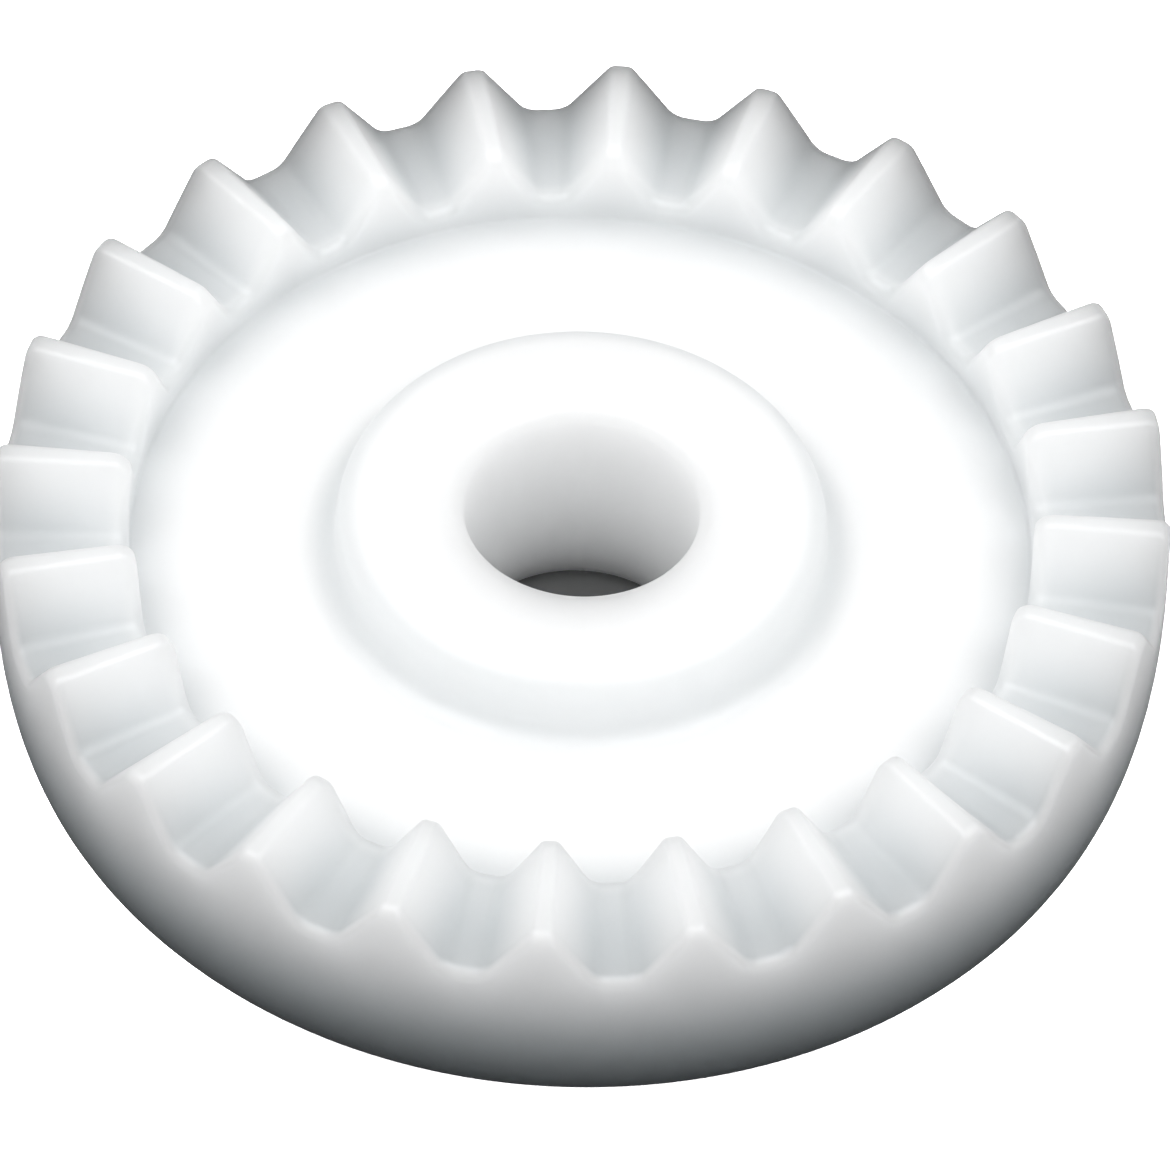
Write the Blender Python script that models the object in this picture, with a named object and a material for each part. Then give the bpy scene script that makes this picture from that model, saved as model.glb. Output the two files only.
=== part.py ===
"""A moulded plastic crown gear: face teeth on the rim of a dished wheel, with a low hub and a shaft bore.

Lengths are in metres and +Z is up. The origin is on the bore's axis, in the plane of the back face, and
the teeth point up. The gear is one moulding, so it is one object. Its section is drawn once for each
angular station round the axis, with the top of the rim at the height of the tooth outline there, and
the sections are bridged into one closed ring.
"""

from math import acos, cos, pi, sin, tan

import bmesh
import bpy
from mathutils import Vector

MM = 0.001

# Teeth: a stub form, 1.65 module high.
MODULE = 1.0 * MM
TEETH = 24
TOOTH_HEIGHT = 1.65 * MODULE
OUTER_RADIUS = 14.5 * MM
TOOTH_INNER_RADIUS = 11.15 * MM
CREST_WIDTH = 0.5 * MM  # across the flat of a crest, at the outer radius
ROOT_WIDTH = 1.0 * MM  # across the flat of a gap's floor, at the outer radius
CREST_ROUNDING = 0.25 * MM
ROOT_ROUNDING = 0.6 * MM
TOOTH_INNER_ROUNDING = 0.5 * MM
TOOTH_OUTER_ROUNDING = 0.35 * MM

# Wheel: heights are above the back face.
CREST_TOP = 6.5 * MM
HUB_TOP = 6.1 * MM
WEB_TOP = 4.25 * MM
BORE_RADIUS = 2.9 * MM
HUB_RADIUS = 6.05 * MM
HUB_DRAFT = 0.1 * MM  # the hub's wall leans in by this much each side of its radius
HUB_ROUNDING = 0.8 * MM
RIM_FOOT_ROUNDING = 0.12 * MM
BORE_LIP_ROUNDING = 0.5 * MM
BORE_BACK_ROUNDING = 0.3 * MM
WALL_CURVE_HEIGHT = 4.3 * MM  # the outer wall starts to curve in at this height
WALL_CURVE_DEPTH = 0.9 * MM  # and is this much smaller in radius at the back face

# Facets
ROUNDING_FACETS = 2
TOOTH_CORNER_FACETS = 1
WALL_CURVE_FACETS = 5

WHITE_NYLON = (0.86, 0.87, 0.87, 1.0)
NYLON_ROUGHNESS = 0.42


def clear_scene():
    for item in list(bpy.data.objects):
        bpy.data.objects.remove(item, do_unlink=True)


def rounded_corner(before, corner, after, radius, facets):
    """The points of an arc that rounds the corner between two straight runs."""
    to_before = (before - corner).normalized()
    to_after = (after - corner).normalized()
    half_angle = acos(max(-1.0, min(1.0, to_before.dot(to_after)))) / 2
    tangent_length = radius / tan(half_angle)
    centre = corner + (to_before + to_after).normalized() * radius / sin(half_angle)
    start = corner + to_before * tangent_length - centre
    end = corner + to_after * tangent_length - centre
    sweep = start.angle(end)
    points = []
    for step in range(facets + 1):
        share = step / facets
        across = (start * sin((1 - share) * sweep) + end * sin(share * sweep)) / sin(sweep)
        points.append(centre + across)
    return points


def tooth_outline():
    """Half a tooth space, from a crest's middle to a gap's middle: (distance round the rim, drop) pairs."""
    half_pitch = pi * OUTER_RADIUS / TEETH
    crest_middle = Vector((0.0, 0.0))
    crest_corner = Vector((CREST_WIDTH / 2, 0.0))
    root_corner = Vector((half_pitch - ROOT_WIDTH / 2, TOOTH_HEIGHT))
    root_middle = Vector((half_pitch, TOOTH_HEIGHT))
    crest = rounded_corner(crest_middle, crest_corner, root_corner, CREST_ROUNDING, TOOTH_CORNER_FACETS)
    root = rounded_corner(crest_corner, root_corner, root_middle, ROOT_ROUNDING, TOOTH_CORNER_FACETS)
    return crest + root


def stations():
    """(angle, drop of the rim's top) for every section round the gear."""
    outline = tooth_outline()
    mirrored = [Vector((-point.x, point.y)) for point in reversed(outline)]
    found = []
    for tooth in range(TEETH):
        crest_angle = 2 * pi * tooth / TEETH
        for point in mirrored + outline:
            found.append((crest_angle + point.x / OUTER_RADIUS, point.y))
    return found


def wall_curve():
    """A quarter of an ellipse, from the back face up to the straight part of the outer wall."""
    points = []
    for step in range(WALL_CURVE_FACETS + 1):
        turn = pi / 2 * step / WALL_CURVE_FACETS
        radius = OUTER_RADIUS - WALL_CURVE_DEPTH * (1 - sin(turn))
        points.append(Vector((radius, WALL_CURVE_HEIGHT * (1 - cos(turn)))))
    return points


def section(drop):
    """The gear's closed section as (radius, height) points, with the rim's top lowered by drop."""
    rim_top = CREST_TOP - drop
    step_height = rim_top - WEB_TOP
    inner_rounding = min(TOOTH_INNER_ROUNDING, step_height / 2)
    bore_back = Vector((BORE_RADIUS, 0.0))
    bore_lip = Vector((BORE_RADIUS, HUB_TOP))
    hub_edge = Vector((HUB_RADIUS - HUB_DRAFT, HUB_TOP))
    hub_foot = Vector((HUB_RADIUS + HUB_DRAFT, WEB_TOP))
    rim_foot = Vector((TOOTH_INNER_RADIUS, WEB_TOP))
    rim_inner = Vector((TOOTH_INNER_RADIUS, rim_top))
    rim_outer = Vector((OUTER_RADIUS, rim_top))
    curve = wall_curve()
    return (
        rounded_corner(bore_lip, bore_back, curve[0], BORE_BACK_ROUNDING, TOOTH_CORNER_FACETS)
        + curve
        + rounded_corner(curve[-1], rim_outer, rim_inner, TOOTH_OUTER_ROUNDING, ROUNDING_FACETS)
        + rounded_corner(rim_outer, rim_inner, rim_foot, inner_rounding, ROUNDING_FACETS)
        + rounded_corner(rim_inner, rim_foot, hub_foot, RIM_FOOT_ROUNDING, TOOTH_CORNER_FACETS)
        + rounded_corner(rim_foot, hub_foot, hub_edge, HUB_ROUNDING, ROUNDING_FACETS)
        + rounded_corner(hub_foot, hub_edge, bore_lip, HUB_ROUNDING, ROUNDING_FACETS)
        + rounded_corner(hub_edge, bore_lip, bore_back, BORE_LIP_ROUNDING, ROUNDING_FACETS)
    )


def add_section(mesh, angle, drop):
    """One section's loop of edges, standing at its angle round the axis."""
    corners = []
    for point in section(drop):
        corners.append(mesh.verts.new((point.x * cos(angle), point.x * sin(angle), point.y)))
    return [mesh.edges.new(pair) for pair in zip(corners, corners[1:] + corners[:1])]


def gear_mesh(name):
    mesh = bmesh.new()
    edges = []
    for angle, drop in stations():
        edges += add_section(mesh, angle, drop)
    bmesh.ops.bridge_loops(mesh, edges=edges, use_cyclic=True)
    bmesh.ops.recalc_face_normals(mesh, faces=mesh.faces)
    data = bpy.data.meshes.new(name)
    mesh.to_mesh(data)
    mesh.free()
    return data


def white_nylon():
    material = bpy.data.materials.new("white_nylon")
    material.use_nodes = True
    shader = material.node_tree.nodes["Principled BSDF"]
    shader.inputs["Base Color"].default_value = WHITE_NYLON
    shader.inputs["Roughness"].default_value = NYLON_ROUGHNESS
    shader.inputs["Metallic"].default_value = 0.0
    return material


def main():
    clear_scene()
    data = gear_mesh("crown_gear")
    data.materials.append(white_nylon())
    data.shade_smooth()
    data.set_sharp_from_angle(angle=pi / 6)
    gear = bpy.data.objects.new("crown_gear", data)
    bpy.context.scene.collection.objects.link(gear)


main()
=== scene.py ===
"""Looks for the moulded crown gear: a fine mesh in place of the CAD solid, white nylon, floor, light, camera.

Everything is in metres in the CAD's frame: the back face lies on z = 0 and the teeth point up. The gear's
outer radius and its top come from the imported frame, and its other sizes are those of the CAD source.
"""

from math import acos, cos, pi, radians, sin, tan

import bmesh
import bpy
from mathutils import Matrix, Vector


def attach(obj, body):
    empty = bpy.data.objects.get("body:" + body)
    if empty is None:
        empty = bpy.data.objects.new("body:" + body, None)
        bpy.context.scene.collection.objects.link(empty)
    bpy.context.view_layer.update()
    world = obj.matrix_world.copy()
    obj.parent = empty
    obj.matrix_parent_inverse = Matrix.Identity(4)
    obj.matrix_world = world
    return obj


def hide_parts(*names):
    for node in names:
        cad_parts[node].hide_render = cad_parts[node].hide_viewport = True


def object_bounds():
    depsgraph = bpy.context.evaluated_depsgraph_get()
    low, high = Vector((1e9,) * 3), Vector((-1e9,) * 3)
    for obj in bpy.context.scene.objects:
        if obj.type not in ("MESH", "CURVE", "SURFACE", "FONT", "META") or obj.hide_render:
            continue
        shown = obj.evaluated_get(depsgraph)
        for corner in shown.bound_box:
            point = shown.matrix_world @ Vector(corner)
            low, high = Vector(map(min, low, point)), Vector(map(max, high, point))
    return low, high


MM = 0.001

# Teeth. The widths are across the flats before rounding, at the outer radius.
TEETH = 24
TOOTH_HEIGHT = 1.65 * MM
TOOTH_INNER_RADIUS = 11.15 * MM
CREST_WIDTH = 0.5 * MM
ROOT_WIDTH = 1.0 * MM
CREST_ROUNDING = 0.25 * MM
ROOT_ROUNDING = 0.6 * MM
TOOTH_INNER_ROUNDING = 0.5 * MM
TOOTH_OUTER_ROUNDING = 0.35 * MM

# Wheel: heights are above the back face.
HUB_TOP = 6.1 * MM
WEB_TOP = 4.25 * MM
BORE_RADIUS = 2.9 * MM
HUB_RADIUS = 6.05 * MM
HUB_DRAFT = 0.1 * MM  # the hub's wall leans in by this much each side of its radius
HUB_ROUNDING = 0.8 * MM
RIM_FOOT_ROUNDING = 0.12 * MM
BORE_LIP_ROUNDING = 0.5 * MM
BORE_BACK_ROUNDING = 0.3 * MM
WALL_CURVE_HEIGHT = 4.3 * MM  # the outer wall starts to curve in at this height
WALL_CURVE_DEPTH = 0.9 * MM  # and is this much smaller in radius at the back face

# Fineness of the mesh: the turn of one facet along a rounded corner, and the facets along each other run
ARC_STEP = radians(12)
WALL_CURVE_FACETS = 12
FLANK_FACETS = 6
BACK_FACETS = 8
WALL_FACETS = 9
TOOTH_FACETS = 9
RIM_STEP_FACETS = 3
WEB_FACETS = 5
HUB_WALL_FACETS = 1
HUB_TOP_FACETS = 4
BORE_FACETS = 6

# Nylon's base colours: two for its own mottled surface, one for the painted shade in its hollows, two for the
# painted shade down the outer wall
NYLON_DARK = (0.875, 0.89, 0.895, 1.0)
NYLON_LIGHT = (0.905, 0.915, 0.92, 1.0)
SHADED = (0.47, 0.50, 0.515, 1.0)
# Painted shade down the outer wall, lighter at its top and darker at its foot
WALL_TOP_SHADE = (0.84, 0.85, 0.86, 1.0)
WALL_FOOT_SHADE = (0.45, 0.485, 0.50, 1.0)

# Where the colours go: each pair of radii or heights is where a change starts and where it is complete.
WALL_HEIGHTS = (5.5 * MM, 0.0)  # the wall's painted shade goes from its top colour to its darker foot colour
WALL_RADII = (14.2 * MM, 14.45 * MM)  # the wall starts at the outer radius
FOOT_RADII = (13.3 * MM, 13.55 * MM)  # and takes in the curved foot, which is further in
FOOT_HEIGHTS = (4.7 * MM, 4.4 * MM)  # but lies below the gaps' floors
FRONT_HEIGHTS = (3.0 * MM, 4.0 * MM)  # only the front's hollows get painted shade, and the back face keeps the nylon's own colour
RIM_RADII = (10.8 * MM, 11.8 * MM)  # the gaps' painted shade starts at the rim
GAP_RADII = (10.5 * MM, 14.0 * MM)
GAP_SHARES = (0.5, 0.85)  # how much painted shade a gap gets, at the two radii above
CREST_SHARE = 0.6  # how much painted shade a crest gets, where a gap's floor gets 1, before the power below
DEPTH_POWER = 2.0
HUB_OUTER_RADII = (7.0 * MM, 6.2 * MM)  # painted shade round the hub's foot grows from outside
HUB_INNER_RADII = (5.2 * MM, 5.9 * MM)  # and from inside
HUB_SHARE = 0.4
# painted shade at the web's edge, next to the teeth's inner ends
WEB_EDGE_RADII = (9.4 * MM, 11.1 * MM)
WEB_EDGE_HEIGHTS = (6.6 * MM, 4.5 * MM)
WEB_EDGE_SHARE = 0.5

# Nylon's shader. A noise's scale is in features per metre.
NYLON_IOR = 1.53
LIGHT_SPREAD = 10 * MM  # how far light travels inside the plastic, alike in all three colours
CLOUD_SCALE = 180.0
CLOUD_DETAIL = 4.0
CLOUD_RANGE = (0.3, 0.7)
ROUGHNESS_RANGE = (0.36, 0.5)
GRAIN_SCALE = 6000.0
GRAIN_DETAIL = 3.0
GRAIN_STRENGTH = 0.15
GRAIN_HEIGHT = 0.01 * MM

# Floor
FLOOR_RADIUS = 2.5
FLOOR_SEGMENTS = 128
FLOOR_DROP = 0.01 * MM  # below the back face
FLOOR_COLOUR = (0.22, 0.22, 0.22, 1.0)
FLOOR_ROUGHNESS = 0.8

# Light: each sun's name, azimuth (0 is in front of the gear, at -Y), elevation, strength and spread, with
# angles in degrees. The gear and the floor each have their own. Any one of the floor's suns makes it white,
# so no shadow shows round the gear.
GEAR_SUNS = (
    ("overhead", 0, 89, 1.4, 90),
    ("key_left", -65, 60, 1.7, 40),
    ("key_right", 65, 60, 1.7, 40),
)
FLOOR_SUNS = (
    ("floor_left", -90, 45, 32.0, 20),
    ("floor_right", 90, 45, 32.0, 20),
    ("floor_front", 0, 35, 32.0, 20),
)
SKY_COLOUR = (0.93, 0.96, 1.0, 1.0)
SKY_STRENGTH = 0.03

# Camera: where it stands, what it aims at, and how much of the frame's width the outer radius takes
AZIMUTH = radians(2.39)
ELEVATION = radians(48.61)
ROLL = radians(-1.99)
DISTANCE = 0.41
AIM_HEIGHT = 2.93 * MM
AIM_RIGHT = 0.14 * MM
RADIUS_SHARE = 0.5009
SENSOR_WIDTH = 36.0  # millimetres, as Blender has it
CLIP_START = 0.01
CLIP_END = 10.0


# The gear's mesh

def rounded_corner(before, corner, after, radius):
    """The points of an arc that rounds the corner between two straight runs."""
    to_before = (before - corner).normalized()
    to_after = (after - corner).normalized()
    half_angle = acos(max(-1.0, min(1.0, to_before.dot(to_after)))) / 2
    tangent_length = radius / tan(half_angle)
    centre = corner + (to_before + to_after).normalized() * radius / sin(half_angle)
    start = corner + to_before * tangent_length - centre
    end = corner + to_after * tangent_length - centre
    sweep = start.angle(end)
    facets = max(1, round((pi - 2 * half_angle) / ARC_STEP))
    points = []
    for step in range(facets + 1):
        share = step / facets
        across = (start * sin((1 - share) * sweep) + end * sin(share * sweep)) / sin(sweep)
        points.append(centre + across)
    return points


def between(start, end, facets):
    """The points inside a straight run, without its two ends."""
    return [start.lerp(end, step / facets) for step in range(1, facets)]


def tooth_outline(radius):
    """Half a tooth space, from a crest's middle to a gap's middle: (distance round the rim, drop) pairs."""
    half_pitch = pi * radius / TEETH
    crest_middle = Vector((0.0, 0.0))
    crest_corner = Vector((CREST_WIDTH / 2, 0.0))
    root_corner = Vector((half_pitch - ROOT_WIDTH / 2, TOOTH_HEIGHT))
    root_middle = Vector((half_pitch, TOOTH_HEIGHT))
    crest = rounded_corner(crest_middle, crest_corner, root_corner, CREST_ROUNDING)
    root = rounded_corner(crest_corner, root_corner, root_middle, ROOT_ROUNDING)
    flank = between(crest[-1], root[0], FLANK_FACETS)
    return [crest_middle] + crest + flank + root + [root_middle]


def stations(radius):
    """(angle, drop of the rim's top) for every section round the gear."""
    outline = tooth_outline(radius)
    mirrored = [Vector((-point.x, point.y)) for point in reversed(outline[1:-1])]
    found = []
    for tooth in range(TEETH):
        crest_angle = 2 * pi * tooth / TEETH
        for point in mirrored + outline:
            found.append((crest_angle + point.x / radius, point.y))
    return found


def wall_curve(outer_radius):
    """A quarter of an ellipse, from the back face up to the straight part of the outer wall."""
    points = []
    for step in range(WALL_CURVE_FACETS + 1):
        turn = pi / 2 * step / WALL_CURVE_FACETS
        radius = outer_radius - WALL_CURVE_DEPTH * (1 - sin(turn))
        points.append(Vector((radius, WALL_CURVE_HEIGHT * (1 - cos(turn)))))
    return points


def section(outer_radius, rim_top):
    """The gear's closed section as (radius, height) points, for the rim's top at this height.

    Each arc stands with the number of facets on the straight run that follows it.
    """
    inner_rounding = min(TOOTH_INNER_ROUNDING, (rim_top - WEB_TOP) / 2)
    bore_back = Vector((BORE_RADIUS, 0.0))
    bore_lip = Vector((BORE_RADIUS, HUB_TOP))
    hub_edge = Vector((HUB_RADIUS - HUB_DRAFT, HUB_TOP))
    hub_foot = Vector((HUB_RADIUS + HUB_DRAFT, WEB_TOP))
    rim_foot = Vector((TOOTH_INNER_RADIUS, WEB_TOP))
    rim_inner = Vector((TOOTH_INNER_RADIUS, rim_top))
    rim_outer = Vector((outer_radius, rim_top))
    curve = wall_curve(outer_radius)
    arcs = [
        (rounded_corner(bore_lip, bore_back, curve[0], BORE_BACK_ROUNDING), BACK_FACETS),
        (curve, WALL_FACETS),
        (rounded_corner(curve[-1], rim_outer, rim_inner, TOOTH_OUTER_ROUNDING), TOOTH_FACETS),
        (rounded_corner(rim_outer, rim_inner, rim_foot, inner_rounding), RIM_STEP_FACETS),
        (rounded_corner(rim_inner, rim_foot, hub_foot, RIM_FOOT_ROUNDING), WEB_FACETS),
        (rounded_corner(rim_foot, hub_foot, hub_edge, HUB_ROUNDING), HUB_WALL_FACETS),
        (rounded_corner(hub_foot, hub_edge, bore_lip, HUB_ROUNDING), HUB_TOP_FACETS),
        (rounded_corner(hub_edge, bore_lip, bore_back, BORE_LIP_ROUNDING), BORE_FACETS),
    ]
    points = []
    for (arc, facets), (following, _) in zip(arcs, arcs[1:] + arcs[:1]):
        points += arc + between(arc[-1], following[0], facets)
    return points


def gear_mesh(name, outer_radius, crest_top):
    """The sections stood round the axis and joined by quads, as one closed ring."""
    mesh = bmesh.new()
    rings = []
    for angle, drop in stations(outer_radius):
        ring = []
        for point in section(outer_radius, crest_top - drop):
            ring.append(mesh.verts.new((point.x * cos(angle), point.x * sin(angle), point.y)))
        rings.append(ring)
    for ring, following in zip(rings, rings[1:] + rings[:1]):
        for corners in zip(ring, ring[1:] + ring[:1], following[1:] + following[:1], following):
            mesh.faces.new(corners)
    bmesh.ops.recalc_face_normals(mesh, faces=mesh.faces)
    data = bpy.data.meshes.new(name)
    mesh.to_mesh(data)
    mesh.free()
    data.shade_smooth()
    return data


# Building blocks of the nylon's nodes

def ramp(tree, value, start, end, low=0.0, high=1.0):
    """A number that goes smoothly from low to high as value goes from start to end."""
    node = tree.nodes.new("ShaderNodeMapRange")
    node.interpolation_type = "SMOOTHSTEP"
    node.inputs["From Min"].default_value = start
    node.inputs["From Max"].default_value = end
    node.inputs["To Min"].default_value = low
    node.inputs["To Max"].default_value = high
    tree.links.new(value, node.inputs["Value"])
    return node.outputs["Result"]


def calculate(tree, operation, first, second):
    """A Math node's result, where second is a number or another node's result."""
    node = tree.nodes.new("ShaderNodeMath")
    node.operation = operation
    tree.links.new(first, node.inputs[0])
    if isinstance(second, float):
        node.inputs[1].default_value = second
    else:
        tree.links.new(second, node.inputs[1])
    return node.outputs["Value"]


def mix(tree, share, first, second):
    """A colour between first and second, each a colour or another node's result."""
    node = tree.nodes.new("ShaderNodeMix")
    node.data_type = "RGBA"
    tree.links.new(share, node.inputs["Factor"])
    for name, colour in (("A", first), ("B", second)):
        if isinstance(colour, tuple):
            node.inputs[name].default_value = colour
        else:
            tree.links.new(colour, node.inputs[name])
    return node.outputs["Result"]


def noise(tree, place, scale, detail):
    """A noise texture's number at a place."""
    node = tree.nodes.new("ShaderNodeTexNoise")
    node.inputs["Scale"].default_value = scale
    node.inputs["Detail"].default_value = detail
    tree.links.new(place, node.inputs["Vector"])
    return node.outputs["Fac"]


def height_above_back(tree, place):
    split = tree.nodes.new("ShaderNodeSeparateXYZ")
    tree.links.new(place, split.inputs["Vector"])
    return split.outputs["Z"]


def distance_from_axis(tree, place):
    flat = tree.nodes.new("ShaderNodeVectorMath")
    flat.operation = "MULTIPLY"
    flat.inputs[1].default_value = (1.0, 1.0, 0.0)
    tree.links.new(place, flat.inputs[0])
    length = tree.nodes.new("ShaderNodeVectorMath")
    length.operation = "LENGTH"
    tree.links.new(flat.outputs["Vector"], length.inputs[0])
    return length.outputs["Value"]


# The nylon

def own_colour(tree, cloud):
    """The nylon's own colour, faintly mottled."""
    node = tree.nodes.new("ShaderNodeValToRGB")
    dark, light = node.color_ramp.elements
    dark.position, light.position = CLOUD_RANGE
    dark.color = NYLON_DARK
    light.color = NYLON_LIGHT
    tree.links.new(cloud, node.inputs["Fac"])
    return node.outputs["Color"]


def hollows(tree, radius, height, crest_top):
    """How much painted shade the front gets: in the gaps between the teeth, round the hub's foot and at the
    web's edge.
    """
    depth = ramp(tree, height, crest_top, crest_top - TOOTH_HEIGHT, CREST_SHARE, 1.0)
    gap = calculate(tree, "POWER", depth, DEPTH_POWER)
    gap = calculate(tree, "MULTIPLY", gap, ramp(tree, radius, *RIM_RADII))
    gap = calculate(tree, "MULTIPLY", gap, ramp(tree, radius, *GAP_RADII, *GAP_SHARES))
    hub = ramp(tree, radius, *HUB_OUTER_RADII, 0.0, HUB_SHARE)
    hub = calculate(tree, "MULTIPLY", hub, ramp(tree, radius, *HUB_INNER_RADII))
    web_edge = ramp(tree, radius, *WEB_EDGE_RADII, 0.0, WEB_EDGE_SHARE)
    web_edge = calculate(tree, "MULTIPLY", web_edge, ramp(tree, height, *WEB_EDGE_HEIGHTS))
    darkest = calculate(tree, "MAXIMUM", gap, calculate(tree, "MAXIMUM", hub, web_edge))
    return calculate(tree, "MULTIPLY", darkest, ramp(tree, height, *FRONT_HEIGHTS))


def outer_wall(tree, radius, height):
    """1 on the outer wall, its curved foot included, and 0 inside it."""
    foot = calculate(tree, "MULTIPLY", ramp(tree, radius, *FOOT_RADII), ramp(tree, height, *FOOT_HEIGHTS))
    return calculate(tree, "MAXIMUM", ramp(tree, radius, *WALL_RADII), foot)


def nylon_colour(tree, place, cloud, crest_top):
    height = height_above_back(tree, place)
    radius = distance_from_axis(tree, place)
    # painted shade in the front's hollows, over the nylon's own colour
    front = mix(tree, hollows(tree, radius, height, crest_top), own_colour(tree, cloud), SHADED)
    # painted shade down the outer wall, darker towards its foot
    wall = mix(tree, ramp(tree, height, *WALL_HEIGHTS), WALL_TOP_SHADE, WALL_FOOT_SHADE)
    return mix(tree, outer_wall(tree, radius, height), front, wall)


def nylon_roughness(tree, cloud):
    """A slightly uneven polish, in step with the mottling."""
    polish = tree.nodes.new("ShaderNodeMapRange")
    polish.inputs["To Min"].default_value = ROUGHNESS_RANGE[0]
    polish.inputs["To Max"].default_value = ROUGHNESS_RANGE[1]
    tree.links.new(cloud, polish.inputs["Value"])
    return polish.outputs["Result"]


def nylon_grain(tree, place):
    """The fine grain that the mould leaves."""
    relief = tree.nodes.new("ShaderNodeBump")
    relief.inputs["Strength"].default_value = GRAIN_STRENGTH
    relief.inputs["Distance"].default_value = GRAIN_HEIGHT
    tree.links.new(noise(tree, place, GRAIN_SCALE, GRAIN_DETAIL), relief.inputs["Height"])
    return relief.outputs["Normal"]


def white_nylon(crest_top):
    """White nylon that lets light through, with painted shade in the gear's hollows and down its outer wall.
    """
    material = bpy.data.materials.new("white_nylon_moulded")
    material.use_nodes = True
    tree = material.node_tree
    shader = tree.nodes["Principled BSDF"]
    shader.inputs["IOR"].default_value = NYLON_IOR
    shader.inputs["Subsurface Weight"].default_value = 1.0
    shader.inputs["Subsurface Radius"].default_value = (1.0, 1.0, 1.0)
    shader.inputs["Subsurface Scale"].default_value = LIGHT_SPREAD
    place = tree.nodes.new("ShaderNodeTexCoord").outputs["Object"]
    cloud = noise(tree, place, CLOUD_SCALE, CLOUD_DETAIL)
    tree.links.new(nylon_colour(tree, place, cloud, crest_top), shader.inputs["Base Color"])
    tree.links.new(nylon_roughness(tree, cloud), shader.inputs["Roughness"])
    tree.links.new(nylon_grain(tree, place), shader.inputs["Normal"])
    return material


# The scene

def make_gear(cad_low, cad_high):
    """The fine gear, which stands for the CAD node."""
    outer_radius = (cad_high.x - cad_low.x) / 2
    data = gear_mesh("crown_gear_moulding", outer_radius, cad_high.z)
    data.materials.append(white_nylon(cad_high.z))
    gear = bpy.data.objects.new("crown_gear_moulding", data)
    bpy.context.scene.collection.objects.link(gear)
    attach(gear, "root")
    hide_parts("crown_gear")
    return gear


def pale_floor():
    material = bpy.data.materials.new("pale_floor")
    material.use_nodes = True
    shader = material.node_tree.nodes["Principled BSDF"]
    shader.inputs["Base Color"].default_value = FLOOR_COLOUR
    shader.inputs["Roughness"].default_value = FLOOR_ROUGHNESS
    return material


def make_floor():
    """A round floor just below the back face, which throws no light back on to the gear."""
    mesh = bmesh.new()
    bmesh.ops.create_circle(mesh, cap_ends=True, segments=FLOOR_SEGMENTS, radius=FLOOR_RADIUS)
    data = bpy.data.meshes.new("floor")
    mesh.to_mesh(data)
    mesh.free()
    data.materials.append(pale_floor())
    floor = bpy.data.objects.new("floor", data)
    floor.location.z = -FLOOR_DROP
    floor.visible_diffuse = False
    floor.visible_glossy = False
    bpy.context.scene.collection.objects.link(floor)
    return floor


def direction(azimuth, elevation):
    """The way to a point seen at these angles, where azimuth 0 is -Y and grows towards +X."""
    return Vector((sin(azimuth) * cos(elevation), -cos(azimuth) * cos(elevation), sin(elevation)))


def make_sun(lit, name, azimuth, elevation, strength, spread):
    """A sun that lights one object only."""
    light = bpy.data.lights.new(name, "SUN")
    light.energy = strength
    light.angle = radians(spread)
    lamp = bpy.data.objects.new(name, light)
    towards = direction(radians(azimuth), radians(elevation))
    lamp.rotation_euler = towards.to_track_quat("Z", "Y").to_euler()
    bpy.context.scene.collection.objects.link(lamp)
    lamp.light_linking.receiver_collection = bpy.data.collections.new(name + "_lights")
    lamp.light_linking.receiver_collection.objects.link(lit)


def make_sky():
    world = bpy.data.worlds.new("studio")
    world.use_nodes = True
    background = world.node_tree.nodes["Background"]
    background.inputs["Color"].default_value = SKY_COLOUR
    background.inputs["Strength"].default_value = SKY_STRENGTH
    bpy.context.scene.world = world


def make_light(gear, floor):
    make_sky()
    for sun in GEAR_SUNS:
        make_sun(gear, *sun)
    for sun in FLOOR_SUNS:
        make_sun(floor, *sun)


def make_camera(outer_radius):
    """A camera whose lens makes the outer radius its share of the frame's width, at the aim's distance."""
    lens = bpy.data.cameras.new("camera")
    lens.sensor_width = SENSOR_WIDTH
    lens.lens = SENSOR_WIDTH * RADIUS_SHARE * DISTANCE / outer_radius
    lens.clip_start = CLIP_START
    lens.clip_end = CLIP_END
    camera = bpy.data.objects.new("camera", lens)
    back = direction(AZIMUTH, ELEVATION)
    right = Vector((cos(AZIMUTH), sin(AZIMUTH), 0.0))
    aim = Vector((0.0, 0.0, AIM_HEIGHT)) + right * AIM_RIGHT
    turn = (-back).to_track_quat("-Z", "Y").to_matrix().to_4x4() @ Matrix.Rotation(-ROLL, 4, "Z")
    camera.matrix_world = Matrix.Translation(aim + back * DISTANCE) @ turn
    bpy.context.scene.collection.objects.link(camera)
    bpy.context.scene.camera = camera


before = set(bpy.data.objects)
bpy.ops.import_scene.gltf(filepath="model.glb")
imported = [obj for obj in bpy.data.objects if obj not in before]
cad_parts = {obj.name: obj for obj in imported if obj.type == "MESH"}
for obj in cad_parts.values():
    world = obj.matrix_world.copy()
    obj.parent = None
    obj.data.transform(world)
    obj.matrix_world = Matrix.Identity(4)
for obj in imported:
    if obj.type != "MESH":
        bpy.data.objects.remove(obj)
cad_low, cad_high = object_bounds()
gear = make_gear(cad_low, cad_high)
floor = make_floor()
make_light(gear, floor)
make_camera((cad_high.x - cad_low.x) / 2)
bpy.context.scene.view_settings.view_transform = "Standard"
